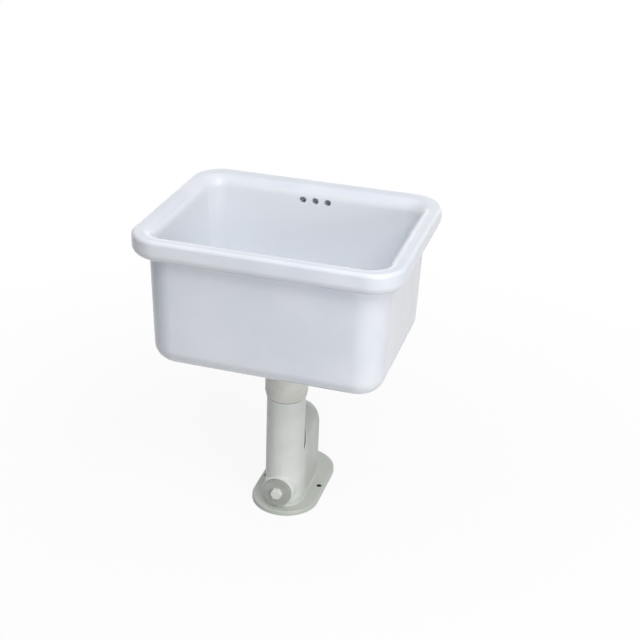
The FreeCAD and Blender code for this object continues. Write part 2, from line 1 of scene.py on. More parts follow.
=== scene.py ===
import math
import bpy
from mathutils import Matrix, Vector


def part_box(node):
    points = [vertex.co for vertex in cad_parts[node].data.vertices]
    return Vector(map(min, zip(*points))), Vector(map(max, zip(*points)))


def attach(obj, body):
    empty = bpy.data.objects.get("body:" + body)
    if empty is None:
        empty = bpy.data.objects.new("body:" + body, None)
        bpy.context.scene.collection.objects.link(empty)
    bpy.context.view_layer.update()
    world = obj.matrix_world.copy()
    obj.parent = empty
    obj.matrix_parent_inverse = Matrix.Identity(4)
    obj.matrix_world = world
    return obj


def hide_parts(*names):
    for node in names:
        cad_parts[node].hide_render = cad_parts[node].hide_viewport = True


bl_info = {
    "name": "Mop Service Sink",
    "version": (1, 0, 0),
    "blender": (4, 5, 0),
    "location": "3D View > Sidebar > Mop Sink",
    "description": "Dresses a china mop sink on its painted cast-iron trap",
    "category": "Object",
}

import bmesh
import bpy
from mathutils import Matrix, Vector

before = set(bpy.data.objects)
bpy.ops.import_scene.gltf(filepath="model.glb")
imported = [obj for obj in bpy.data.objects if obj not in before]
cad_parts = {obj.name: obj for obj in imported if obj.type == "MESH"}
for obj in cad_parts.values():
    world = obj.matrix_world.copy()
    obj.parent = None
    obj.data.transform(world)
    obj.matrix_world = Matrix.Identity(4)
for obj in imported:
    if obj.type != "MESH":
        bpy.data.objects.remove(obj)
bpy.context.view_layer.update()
MM = 0.001
WHITE = (1.0, 1.0, 1.0, 1.0)
BASIN_LOW, BASIN_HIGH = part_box("basin")
GRATE_LOW, GRATE_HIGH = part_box("strainer_grate")


# ---------------------------------------------------------------- colours and nodes

def linear(hex_colour):
    """Turns an sRGB hex colour into the linear colour that Blender's sockets take."""
    parts = [int(hex_colour[place:place + 2], 16) / 255 for place in (1, 3, 5)]
    return tuple(part / 12.92 if part <= 0.04045 else ((part + 0.055) / 1.055) ** 2.4
                 for part in parts) + (1.0,)


def add(tree, kind, inputs=None, out=0, **settings):
    """Adds a node with its settings and links, and gives back the output that is wanted. An input
    is a value, the socket that feeds it, or a list of such sockets."""
    node = tree.nodes.new(kind)
    for name, setting in settings.items():
        setattr(node, name, setting)
    for key, given in (inputs or {}).items():
        for feed in given if isinstance(given, list) else [given]:
            if isinstance(feed, bpy.types.NodeSocket):
                tree.links.new(feed, node.inputs[key])
            else:
                node.inputs[key].default_value = feed
    return node.outputs[out] if node.outputs else None


def colour_property(name, hex_colour, description):
    return bpy.props.FloatVectorProperty(name=name, description=description, subtype="COLOR",
                                         size=4, min=0.0, max=1.0, default=linear(hex_colour))


def length_property(name, metres, description):
    return bpy.props.FloatProperty(name=name, description=description, subtype="DISTANCE",
                                   unit="LENGTH", min=0.0, precision=4, default=metres)


# ---------------------------------------------------------------- what a user would change

class MopSinkSizes(bpy.types.PropertyGroup):
    """Sizes of the china basin and of its strainer."""
    top: length_property("Rim height", BASIN_HIGH.z, "Height of the rim above the floor")
    base: length_property("Base height", BASIN_LOW.z, "Height of the basin's underside")
    half_length: length_property("Half length", BASIN_HIGH.x, "From the middle to the rim's side")
    half_width: length_property("Half width", BASIN_HIGH.y, "From the middle to the rim's front")
    rim_corner: length_property("Rim corner", 62 * MM, "Radius of the rim's corners in plan")
    rim_depth: length_property("Rim depth", 42 * MM, "Height of the rim's face")
    rim_overhang: length_property("Rim overhang", 25 * MM, "How far the rim stands out")
    body_corner: length_property("Body corner", 56 * MM, "Radius of the walls' corners in plan")
    body_lean: length_property("Body lean", 6.5 * MM, "How far the outer walls come in at the base")
    base_round: length_property("Base rounding", 35 * MM, "Radius round the underside")
    rim_under_round: length_property("Rim lower rounding", 18 * MM,
                                     "Radius of the rim's lower edge")
    rim_top_round: length_property("Rim upper rounding", 7.5 * MM, "Radius of the rim's upper edge")
    rim_root_round: length_property("Rim root rounding", 3 * MM, "Radius where rim and wall meet")
    side_wall: length_property("Wall", 13 * MM, "Thickness of the side and front walls")
    back_wall: length_property("Back wall", 20 * MM, "Thickness of the wall with the overflow")
    bowl_corner: length_property("Bowl corner", 32 * MM, "Radius of the bowl's corners in plan")
    bowl_lean: length_property("Bowl lean", 7 * MM, "How far the bowl's walls come in at its floor")
    lip_round: length_property("Lip rounding", 25 * MM, "Radius of the lip into the bowl")
    floor_round: length_property("Floor rounding", 22 * MM, "Radius round the bowl's floor")
    floor_thickness: length_property("Floor thickness", 24 * MM, "Thickness of the bowl's floor")
    drain_bore: length_property("Drain bore", 64 * MM, "Width of the hole in the floor")
    seat_radius: length_property("Seat radius", 47 * MM, "Radius of the recess for the waste")
    seat_depth: length_property("Seat depth", 4 * MM, "Depth of the recess for the waste")
    overflow_bore: length_property("Overflow bore", 13 * MM, "Width of an overflow hole")
    overflow_pitch: length_property("Overflow pitch", 25 * MM, "From hole to hole")
    overflow_drop: length_property("Overflow drop", 27.5 * MM, "Depth of the holes below the rim")
    duct_width: length_property("Duct width", 80 * MM, "Width of the overflow duct")
    duct_gap: length_property("Duct gap", 8 * MM, "Depth of the overflow duct")
    duct_reach: length_property("Duct place", 159.5 * MM, "From the middle to the duct's near side")
    grate_bore: length_property("Grate bore", 6.2 * MM, "Width of a hole in the grate")
    grate_pitch: length_property("Grate pitch", 9.6 * MM, "From one ring of holes to the next")


class MopSinkFinishes(bpy.types.PropertyGroup):
    """Colours of the sink's materials and of its stage."""
    glaze: colour_property("Glaze", "#F1F4FA", "China glaze")
    glaze_shade: colour_property("Glaze, thicker", "#E7ECF5", "China glaze where it lies thicker")
    # Painted light: a whiter glaze for the inside of the bowl, standing in for the light that fills
    # it.
    bowl_glaze_painted_light: colour_property("Glaze in the bowl", "#F6F9FD", "China glaze inside the bowl")
    trap_paint: colour_property("Trap paint", "#F3F6F0", "Paint on the trap")
    trap_paint_worn: colour_property("Trap paint, dull", "#ECF0E9", "Paint on the trap, dull")
    # Painted shade: the flange and all behind the pipe are painted darker, for the shade under the
    # basin.
    shade_under_basin: colour_property("Dust", "#CDD1C8", "Dust on the flange and behind the pipe")
    collar_paint: colour_property("Collar paint", "#F1F0E9", "Paint on the collar")
    collar_paint_worn: colour_property("Collar paint, dull", "#E6E5DC", "Paint on the collar, dull")
    # Painted shade: the plug's disc is painted darker than the trap.
    plug_paint: colour_property("Plug paint", "#BCC0B8", "Paint on the cleanout plug")
    plug_paint_shaded_dull: colour_property("Plug paint, dull", "#B0B4AB", "Paint on the plug, dull")
    # Painted shade in the bolt holes, and the dark band just below the collar.
    hole_shade_and_joint_band: colour_property("Joint dirt", "#5C5B56", "Dirt in the joint under the collar")
    rubber: colour_property("Rubber", "#2A2A2B", "Seals and gaskets")
    fibre: colour_property("Fibre", "#7E3A2C", "Slip washer")
    chrome: colour_property("Chrome", "#BEC1C4", "Waste and grate")
    brass: colour_property("Brass", "#C9A45C", "Locknut")
    floor: colour_property("Floor", "#B0B0B0", "Studio floor, as it throws light back")
    fill: colour_property("Fill light", "#EEF2FF", "Soft light from all round")


# ---------------------------------------------------------------- materials

def new_material(name):
    """An empty material, and the object's own coordinates for its patterns."""
    material = bpy.data.materials.new(name)
    material.use_nodes = True
    tree = material.node_tree
    tree.nodes.clear()
    return material, tree, add(tree, "ShaderNodeTexCoord", out="Object")


def vitreous_china_glaze(colours):
    """Vitreous china, slip cast and dipped in a white glaze. The eye sees a deep wet gloss, faint
    waves where the slip settled and a cooler white where the glaze ran thicker. Inside the bowl the
    glaze is painted whiter, as painted light for the light that fills the bowl."""
    material, tree, place = new_material("vitreous_china_glaze")
    runs = add(tree, "ShaderNodeTexNoise", {"Vector": place, "Scale": 1 / (140 * MM),
                                            "Detail": 2.0})
    thickness = add(tree, "ShaderNodeMapRange", {"Value": runs, "From Min": 0.35,
                                                 "From Max": 0.65})
    colour = add(tree, "ShaderNodeMix", {"Factor": thickness, "A": tuple(colours.glaze),
                                         "B": tuple(colours.glaze_shade)}, out=2, data_type="RGBA")
    # Painted light: the bowl's inside is drawn in a whiter glaze. The bowl is told from the outside
    # by its distance from a box 32.5 mm inside its wall.
    bowl_forward, box_half = 3.5 * MM, (179.5 * MM, 126 * MM, 0)
    wall_inside, wall_outside, below_floor = 33.5 * MM, 38.5 * MM, 375 * MM
    plan = add(tree, "ShaderNodeVectorMath", {0: place, 1: (0, bowl_forward, 0)}, operation="ADD")
    plan = add(tree, "ShaderNodeVectorMath", {0: plan, 1: (1, 1, 0)}, operation="MULTIPLY")
    plan = add(tree, "ShaderNodeVectorMath", {0: plan}, operation="ABSOLUTE")
    plan = add(tree, "ShaderNodeVectorMath", {0: plan, 1: box_half}, operation="SUBTRACT")
    plan = add(tree, "ShaderNodeVectorMath", {0: plan, 1: (0, 0, 0)}, operation="MAXIMUM")
    outwards = add(tree, "ShaderNodeVectorMath", {0: plan}, out="Value", operation="LENGTH")
    bowl_painted_light_share = add(tree, "ShaderNodeMapRange", {"Value": outwards, "From Min": wall_inside,
                                               "From Max": wall_outside, "To Min": 1.0,
                                               "To Max": 0.0})
    height = add(tree, "ShaderNodeSeparateXYZ", {"Vector": place}, out="Z")
    above = add(tree, "ShaderNodeMath", {0: height, 1: below_floor}, operation="GREATER_THAN")
    bowl_painted_light_share = add(tree, "ShaderNodeMath", {0: bowl_painted_light_share, 1: above}, operation="MULTIPLY")
    colour = add(tree, "ShaderNodeMix", {"Factor": bowl_painted_light_share, "A": colour,
                                         "B": tuple(colours.bowl_glaze_painted_light)}, out=2, data_type="RGBA")
    settled = add(tree, "ShaderNodeTexNoise", {"Vector": place, "Scale": 1 / (75 * MM),
                                               "Detail": 1.0})
    waves = add(tree, "ShaderNodeBump", {"Height": settled, "Distance": 0.5 * MM, "Strength": 1.0})
    skin = add(tree, "ShaderNodeTexNoise", {"Vector": place, "Scale": 1 / (7 * MM), "Detail": 2.0})
    peel = add(tree, "ShaderNodeBump", {"Height": skin, "Distance": 0.012 * MM, "Strength": 1.0,
                                        "Normal": waves})
    rub = add(tree, "ShaderNodeTexNoise", {"Vector": place, "Scale": 1 / (35 * MM), "Detail": 4.0})
    sheen = add(tree, "ShaderNodeMapRange", {"Value": rub, "From Min": 0.3, "From Max": 0.7,
                                             "To Min": 0.15, "To Max": 0.24})
    shader = add(tree, "ShaderNodeBsdfPrincipled", {
        "Base Color": colour, "Roughness": sheen, "IOR": 1.5, "Normal": peel})
    add(tree, "ShaderNodeOutputMaterial", {"Surface": shader})
    return material


def painted_cast_iron(name, colour, dull, shade_tone, hole_shade_and_band, grit, joint):
    """Sand-cast iron under two brushed coats of oil paint. The eye sees a satin sheen broken by the
    mould's sand, soft hollows and a duller coat in patches. Low on the flange and towards the back,
    behind the pipe, the colour is darker, as painted shade under the basin; the bolt holes are
    painted dark, as painted shade inside them; and a dark band runs round at the joint's height,
    just below the collar. The grit is the size of the sand's grains, and the joint is a height."""
    material, tree, place = new_material(name)
    flange_top, shade_top, shade_front, shade_back = 10 * MM, 26 * MM, 8 * MM, 30 * MM
    hole_axis, hole_radius, joint_half = (57 * MM, 60 * MM, 0), 5.2 * MM, 1.1 * MM
    stains = add(tree, "ShaderNodeTexNoise", {"Vector": place, "Scale": 1 / (45 * MM),
                                              "Detail": 4.0, "Roughness": 0.6})
    patches = add(tree, "ShaderNodeMapRange", {"Value": stains, "From Min": 0.40,
                                               "From Max": 0.68})
    height = add(tree, "ShaderNodeSeparateXYZ", {"Vector": place}, out="Z")
    # Painted shade: darker low on the flange and towards the back, behind the pipe, for the shade
    # under the basin.
    low = add(tree, "ShaderNodeMapRange", {"Value": height, "From Min": flange_top,
                                           "From Max": shade_top, "To Min": 0.85, "To Max": 0.0})
    depth = add(tree, "ShaderNodeSeparateXYZ", {"Vector": place}, out="Y")
    behind = add(tree, "ShaderNodeMapRange", {"Value": depth, "From Min": shade_front,
                                              "From Max": shade_back, "To Max": 0.75})
    painted_shade_share = add(tree, "ShaderNodeMath", {0: low, 1: behind}, operation="MAXIMUM")
    # Painted shade: the bolt holes are painted dark.
    mirrored = add(tree, "ShaderNodeVectorMath", {0: place}, operation="ABSOLUTE")
    from_hole = add(tree, "ShaderNodeVectorMath", {0: mirrored, 1: hole_axis},
                    operation="SUBTRACT")
    from_hole = add(tree, "ShaderNodeVectorMath", {0: from_hole, 1: (1, 1, 0)},
                    operation="MULTIPLY")
    to_hole = add(tree, "ShaderNodeVectorMath", {0: from_hole}, out="Value", operation="LENGTH")
    hole_painted_shade = add(tree, "ShaderNodeMath", {0: to_hole, 1: hole_radius}, operation="LESS_THAN")
    # A dark band 1.1 mm each side of the joint's height.
    line = add(tree, "ShaderNodeMath", {0: height, 1: joint, 2: joint_half}, operation="COMPARE")
    tone = tuple(colour)
    for share, over in ((patches, dull), (painted_shade_share, shade_tone), (hole_painted_shade, hole_shade_and_band), (line, hole_shade_and_band)):
        tone = add(tree, "ShaderNodeMix", {"Factor": share, "A": tone, "B": tuple(over)}, out=2,
                   data_type="RGBA")
    swell = add(tree, "ShaderNodeTexNoise", {"Vector": place, "Scale": 1 / (24 * MM),
                                             "Detail": 2.0})
    hollows = add(tree, "ShaderNodeBump", {"Height": swell, "Distance": 0.15 * MM,
                                           "Strength": 1.0})
    sand = add(tree, "ShaderNodeTexNoise", {"Vector": place, "Scale": 1 / grit, "Detail": 3.0,
                                            "Roughness": 0.6})
    cast = add(tree, "ShaderNodeBump", {"Height": sand, "Distance": 0.09 * MM, "Strength": 1.0,
                                        "Normal": hollows})
    sheen = add(tree, "ShaderNodeMapRange", {"Value": patches, "To Min": 0.34, "To Max": 0.46})
    shader = add(tree, "ShaderNodeBsdfPrincipled", {
        "Base Color": tone, "Roughness": sheen, "IOR": 1.5, "Normal": cast})
    add(tree, "ShaderNodeOutputMaterial", {"Surface": shader})
    return material


def painted_brass_plug(colours, flange_face):
    """A hot-pressed brass plug under oil paint. The eye sees a smooth satin disc, duller in
    patches. The disc is painted darker than the trap, as painted shade, and in front of its
    flange's face the hex head is painted in the trap's lighter paint, as a painted highlight."""
    material, tree, place = new_material("painted_brass_plug")
    stains = add(tree, "ShaderNodeTexNoise", {"Vector": place, "Scale": 1 / (18 * MM),
                                              "Detail": 4.0, "Roughness": 0.6})
    patches = add(tree, "ShaderNodeMapRange", {"Value": stains, "From Min": 0.40,
                                               "From Max": 0.68})
    depth = add(tree, "ShaderNodeSeparateXYZ", {"Vector": place}, out="Y")
    # Painted highlight: in front of the flange's face the hex head takes the trap's lighter paint.
    hexagon_painted_highlight = add(tree, "ShaderNodeMath", {0: depth, 1: flange_face}, operation="LESS_THAN")
    tone = tuple(colours.plug_paint)
    for share, over in ((patches, colours.plug_paint_shaded_dull), (hexagon_painted_highlight, colours.trap_paint)):
        tone = add(tree, "ShaderNodeMix", {"Factor": share, "A": tone, "B": tuple(over)}, out=2,
                   data_type="RGBA")
    brushed = add(tree, "ShaderNodeTexNoise", {"Vector": place, "Scale": 1 / (3 * MM),
                                               "Detail": 2.0})
    skin = add(tree, "ShaderNodeBump", {"Height": brushed, "Distance": 0.04 * MM, "Strength": 1.0})
    sheen = add(tree, "ShaderNodeMapRange", {"Value": patches, "To Min": 0.30, "To Max": 0.42})
    shader = add(tree, "ShaderNodeBsdfPrincipled", {
        "Base Color": tone, "Roughness": sheen, "IOR": 1.5, "Normal": skin})
    add(tree, "ShaderNodeOutputMaterial", {"Surface": shader})
    return material


def moulded_rubber(colours):
    """Black rubber moulded in a blasted tool. The eye sees a matt grey-black with a fine grain and
    a paler bloom in patches."""
    material, tree, place = new_material("moulded_rubber")
    black, paler = tuple(colours.rubber), 2.0
    bloom = tuple(min(1.0, part * paler) for part in black[:3]) + (1.0,)
    cloud = add(tree, "ShaderNodeTexNoise", {"Vector": place, "Scale": 1 / (9 * MM), "Detail": 4.0})
    faded = add(tree, "ShaderNodeMapRange", {"Value": cloud, "From Min": 0.35, "From Max": 0.7})
    tone = add(tree, "ShaderNodeMix", {"Factor": faded, "A": black, "B": bloom}, out=2,
               data_type="RGBA")
    grain = add(tree, "ShaderNodeTexNoise", {"Vector": place, "Scale": 1 / (0.8 * MM),
                                             "Detail": 3.0})
    skin = add(tree, "ShaderNodeBump", {"Height": grain, "Distance": 0.04 * MM, "Strength": 1.0})
    sheen = add(tree, "ShaderNodeMapRange", {"Value": cloud, "To Min": 0.5, "To Max": 0.75})
    shader = add(tree, "ShaderNodeBsdfPrincipled", {
        "Base Color": tone, "Roughness": sheen, "IOR": 1.52, "Normal": skin})
    add(tree, "ShaderNodeOutputMaterial", {"Surface": shader})
    return material


def turned_metal(name, colour, tarnish, smoothest, roughest):
    """Brass turned on a lathe, and polished and chromed or left bare. The eye sees a bright metal
    with fine turning marks round its axis and a dull film where water dries."""
    material, tree, place = new_material(name)
    flat = add(tree, "ShaderNodeVectorMath", {0: place, 1: (1.0, 1.0, 0.0)}, operation="MULTIPLY")
    radius = add(tree, "ShaderNodeVectorMath", {0: flat}, out="Value", operation="LENGTH")
    # Turning marks are about 0.1 mm apart; they are drawn 0.6 mm apart, or none would show.
    apart = 0.6 * MM
    marks = add(tree, "ShaderNodeMath", {0: radius, 1: 2 * math.pi / apart}, operation="MULTIPLY")
    rings = add(tree, "ShaderNodeMath", {0: marks}, operation="SINE")
    turned = add(tree, "ShaderNodeBump", {"Height": rings, "Distance": 0.004 * MM, "Strength": 1.0})
    dried = add(tree, "ShaderNodeTexNoise", {"Vector": place, "Scale": 1 / (12 * MM), "Detail": 5.0,
                                             "Roughness": 0.6})
    film = add(tree, "ShaderNodeMapRange", {"Value": dried, "From Min": 0.35, "From Max": 0.65,
                                            "To Min": smoothest, "To Max": roughest})
    veil = add(tree, "ShaderNodeMapRange", {"Value": dried, "From Min": 0.45, "From Max": 0.8,
                                            "To Min": 0.0, "To Max": 0.5})
    tone = add(tree, "ShaderNodeMix", {"Factor": veil, "A": tuple(colour), "B": linear(tarnish)},
               out=2, data_type="RGBA")
    shader = add(tree, "ShaderNodeBsdfPrincipled", {
        "Base Color": tone, "Metallic": 1.0, "Roughness": film, "Normal": turned})
    add(tree, "ShaderNodeOutputMaterial", {"Surface": shader})
    return material


def vulcanised_fibre(colours):
    """Pressed red fibre sheet. The eye sees a waxy brown-red with short darker fibres."""
    material, tree, place = new_material("vulcanised_fibre")
    red, darker = tuple(colours.fibre), 0.6
    dark = tuple(part * darker for part in red[:3]) + (1.0,)
    fibres = add(tree, "ShaderNodeTexNoise", {"Vector": place, "Scale": 1 / (1.5 * MM),
                                              "Detail": 6.0, "Roughness": 0.7})
    pressed = add(tree, "ShaderNodeMapRange", {"Value": fibres, "From Min": 0.3, "From Max": 0.7})
    tone = add(tree, "ShaderNodeMix", {"Factor": pressed, "A": red, "B": dark}, out=2,
               data_type="RGBA")
    skin = add(tree, "ShaderNodeBump", {"Height": fibres, "Distance": 0.03 * MM, "Strength": 1.0})
    sheen = add(tree, "ShaderNodeMapRange", {"Value": fibres, "To Min": 0.42, "To Max": 0.6})
    shader = add(tree, "ShaderNodeBsdfPrincipled", {
        "Base Color": tone, "Roughness": sheen, "IOR": 1.5, "Normal": skin})
    add(tree, "ShaderNodeOutputMaterial", {"Surface": shader})
    return material


def seen_plainly(tree):
    """Gives 1 for a ray from the camera, off a gloss or through glass, and 0 for any other."""
    seen = add(tree, "ShaderNodeLightPath", out="Is Camera Ray")
    for kind in ("Is Glossy Ray", "Is Transmission Ray"):
        ray = add(tree, "ShaderNodeLightPath", out=kind)
        seen = add(tree, "ShaderNodeMath", {0: seen, 1: ray}, operation="MAXIMUM")
    return seen


def studio_floor(colour):
    """Seamless paper. It shows as white to the eye and in the gloss, keeps the object's shadow near
    it, and stays dark inside holes, where no light gets in."""
    material, tree, place = new_material("studio_floor")
    hole_depth, shadow_end, white_start, least_glow = 14 * MM, 0.45, 1.3, 0.90
    seen = seen_plainly(tree)
    sky = add(tree, "ShaderNodeAmbientOcclusion", {"Distance": hole_depth}, out="AO")
    sky = add(tree, "ShaderNodeMapRange", {"Value": sky, "From Min": 0.35, "From Max": 0.60})
    open_floor = add(tree, "ShaderNodeMath", {0: seen, 1: sky}, operation="MULTIPLY")
    tone = add(tree, "ShaderNodeMix", {"Factor": open_floor, "A": tuple(colour), "B": WHITE},
               out=2, data_type="RGBA")
    paper = add(tree, "ShaderNodeBsdfDiffuse", {"Color": tone})
    white = add(tree, "ShaderNodeEmission", {"Color": WHITE, "Strength": 1.0})
    reach = add(tree, "ShaderNodeVectorMath", {0: place}, out="Value", operation="LENGTH")
    glow = add(tree, "ShaderNodeMapRange", {"Value": reach, "From Min": shadow_end,
                                            "From Max": white_start, "To Min": least_glow,
                                            "To Max": 1.0})
    share = add(tree, "ShaderNodeMath", {0: open_floor, 1: glow}, operation="MULTIPLY")
    mixed = add(tree, "ShaderNodeMixShader", {"Fac": share, 1: paper, 2: white})
    add(tree, "ShaderNodeOutputMaterial", {"Surface": mixed})
    return material


# ---------------------------------------------------------------- ways of making a piece

def link(name, mesh):
    piece = bpy.data.objects.new(name, mesh)
    bpy.context.scene.collection.objects.link(piece)
    return piece


def bake_modifiers(piece):
    """Turns the piece and its modifiers into a plain mesh."""
    bpy.context.view_layer.update()
    finished = piece.evaluated_get(bpy.context.evaluated_depsgraph_get())
    mesh = bpy.data.meshes.new_from_object(finished)
    piece.modifiers.clear()
    piece.data = mesh
    mesh.name = piece.name


def settle(piece, material, body, node, angle=32):
    """Finishes a piece: its material, smooth faces with sharp edges kept, and its place in the
    frame."""
    piece.data.materials.clear()
    piece.data.materials.append(material)
    piece.data.shade_smooth()
    piece.data.set_sharp_from_angle(angle=math.radians(angle))
    weighted = piece.modifiers.new("flat_faces_stay_flat", "WEIGHTED_NORMAL")
    weighted.keep_sharp = True
    weighted.weight = 60
    bake_modifiers(piece)
    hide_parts(node)
    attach(piece, body)


def merged_copy(node):
    """A copy of a frame node with its loose triangles joined."""
    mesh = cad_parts[node].data.copy()
    work = bmesh.new()
    work.from_mesh(mesh)
    bmesh.ops.remove_doubles(work, verts=work.verts, dist=0.002 * MM)
    work.to_mesh(mesh)
    work.free()
    for name in ("custom_normal", "sharp_face", "sharp_edge"):
        if name in mesh.attributes:
            mesh.attributes.remove(mesh.attributes[name])
    return link(f"{node}_piece", mesh)


def bevel_edges(piece, width, segments=3, angle=40):
    """Rounds every edge sharper than the angle; the width is in metres."""
    rounded = piece.modifiers.new("eased_edges", "BEVEL")
    rounded.width = width
    rounded.segments = segments
    rounded.limit_method = "ANGLE"
    rounded.angle_limit = math.radians(angle)
    rounded.use_clamp_overlap = True
    bake_modifiers(piece)


def turned_mesh(name, section, steps=96):
    """A solid turned about the vertical axis from its half section."""
    mesh = bpy.data.meshes.new(name)
    work = bmesh.new()
    line = [work.verts.new((radius, 0, height)) for radius, height in section]
    edges = [work.edges.new(pair) for pair in zip(line, line[1:])]
    bmesh.ops.spin(work, geom=line + edges, cent=(0, 0, 0), axis=(0, 0, 1), angle=2 * math.pi,
                   steps=steps, use_duplicate=False)
    bmesh.ops.remove_doubles(work, verts=work.verts, dist=0.001 * MM)
    bmesh.ops.recalc_face_normals(work, faces=work.faces)
    work.to_mesh(mesh)
    work.free()
    return mesh


def node_group(name, sizes):
    """An empty Geometry Nodes tree with a mesh in and out, its material, and an input for each
    size. The inputs come back by name."""
    tree = bpy.data.node_groups.new(name, "GeometryNodeTree")
    tree.interface.new_socket("Geometry", in_out="INPUT", socket_type="NodeSocketGeometry")
    tree.interface.new_socket("Geometry", in_out="OUTPUT", socket_type="NodeSocketGeometry")
    tree.interface.new_socket("Finish", in_out="INPUT", socket_type="NodeSocketMaterial")
    for size in sizes:
        tree.interface.new_socket(size, in_out="INPUT", socket_type="NodeSocketFloat")
    given = {size: add(tree, "NodeGroupInput", out=size) for size in ["Geometry", "Finish"] + sizes}
    return tree, given


def end_group(tree, geometry, finish):
    solid = add(tree, "GeometryNodeRealizeInstances", {"Geometry": geometry})
    painted = add(tree, "GeometryNodeSetMaterial", {"Geometry": solid, "Material": finish})
    add(tree, "NodeGroupOutput", {"Geometry": painted})


def run_group(piece, tree, inputs):
    """Puts the tree on the piece with its inputs, by identifier, and keeps the result as a plain
    mesh."""
    modifier = piece.modifiers.new(tree.name, "NODES")
    modifier.node_group = tree
    for item in tree.interface.items_tree:
        if item.in_out == "INPUT" and item.name in inputs:
            modifier[item.identifier] = inputs[item.name]
    bake_modifiers(piece)


# ---------------------------------------------------------------- basin

def basin_section(sizes):
    """The corners of the basin's section. Each has the middle of its plan corner (to the side, to
    the front, to the back), how far it stands out from there, its height and its rounding."""
    side = sizes.half_length - sizes.rim_overhang
    end = sizes.half_width - sizes.rim_overhang
    drain = (0.0, 0.0, 0.0)
    body = (side - sizes.body_corner, end - sizes.body_corner, end - sizes.body_corner)
    rim = (sizes.half_length - sizes.rim_corner,
           sizes.half_width - sizes.rim_corner, sizes.half_width - sizes.rim_corner)
    bowl = (side - sizes.side_wall - sizes.bowl_corner, end - sizes.side_wall - sizes.bowl_corner,
            end - sizes.back_wall - sizes.bowl_corner)
    under = sizes.top - sizes.rim_depth
    floor = sizes.base + sizes.floor_thickness
    seat = floor - sizes.seat_depth
    eased = 1.5 * MM
    return [
        (drain, sizes.drain_bore / 2, sizes.base, eased),
        (body, sizes.body_corner - sizes.body_lean, sizes.base, sizes.base_round),
        (body, sizes.body_corner, under, sizes.rim_root_round),
        (rim, sizes.rim_corner, under, sizes.rim_under_round),
        (rim, sizes.rim_corner, sizes.top, sizes.rim_top_round),
        (bowl, sizes.bowl_corner, sizes.top, sizes.lip_round),
        (bowl, sizes.bowl_corner - sizes.bowl_lean, floor, sizes.floor_round),
        (drain, sizes.seat_radius, floor, eased),
        (drain, sizes.seat_radius, seat, eased),
        (drain, sizes.drain_bore / 2, seat, eased),
    ]


def section_directions(section):
    """The way each side of the section runs: along its own wall, or level to the next family."""
    ways = []
    for number, (middle, reach, height, _) in enumerate(section):
        next_middle, next_reach, next_height, _ = section[(number + 1) % len(section)]
        if next_middle == middle:
            ways.append(Vector((next_reach - reach, next_height - height)).normalized())
        else:
            outwards = next_middle[0] + next_reach > middle[0] + reach
            ways.append(Vector((1.0 if outwards else -1.0, 0.0)))
    return ways


def basin_levels(section, step=math.radians(6), fewest=4):
    """Rounds the section's corners and gives each level as its plan corner, reach and height."""
    ways = section_directions(section)
    levels = []
    for number, (middle, reach, height, rounding) in enumerate(section):
        before, after = ways[number - 1], ways[number]
        bend = before.angle(after)
        corner = Vector((reach, height))
        centre = corner + (after - before).normalized() * rounding / math.cos(bend / 2)
        start = corner - before * rounding * math.tan(bend / 2) - centre
        steps = max(fewest, math.ceil(bend / step))
        turn = -bend if before.x * after.y - before.y * after.x < 0 else bend
        for part in range(steps + 1):
            point = centre + Matrix.Rotation(turn * part / steps, 2) @ start
            levels.append((middle, point.x, point.y))
    return levels


def basin_grid(levels, corner_steps=24):
    """A closed grid of the levels. Its points carry what the tree needs to place them: the middle
    of their plan corner, the turn round it, the reach and the height."""
    turns = []
    for quarter in range(4):
        side = 1 if quarter in (0, 3) else -1
        end = 1 if quarter in (0, 1) else -1
        turns += [(side, end, math.pi / 2 * (quarter + part / corner_steps))
                  for part in range(corner_steps + 1)]
    around, count = len(turns), len(levels)
    faces = []
    for level in range(count):
        above = (level + 1) % count
        for place in range(around):
            beside = (place + 1) % around
            faces.append((level * around + place, level * around + beside,
                          above * around + beside, above * around + place))
    mesh = bpy.data.meshes.new("basin_grid")
    # The points lie apart until the tree places them, so that none is merged on the way.
    mesh.from_pydata([(place * MM, level * MM, 0) for level in range(count)
                      for place in range(around)], [], faces)
    middles, carried = [], {"turn": [], "reach": [], "height": []}
    for middle, reach, height in levels:
        for side, end, turn in turns:
            middles += [side * middle[0], middle[2] if end > 0 else -middle[1], 0]
            for values, value in zip(carried.values(), (turn, reach, height)):
                values.append(value)
    mesh.attributes.new("plan_corner", "FLOAT_VECTOR", "POINT").data.foreach_set("vector", middles)
    for name, values in carried.items():
        mesh.attributes.new(name, "FLOAT", "POINT").data.foreach_set("value", values)
    return mesh


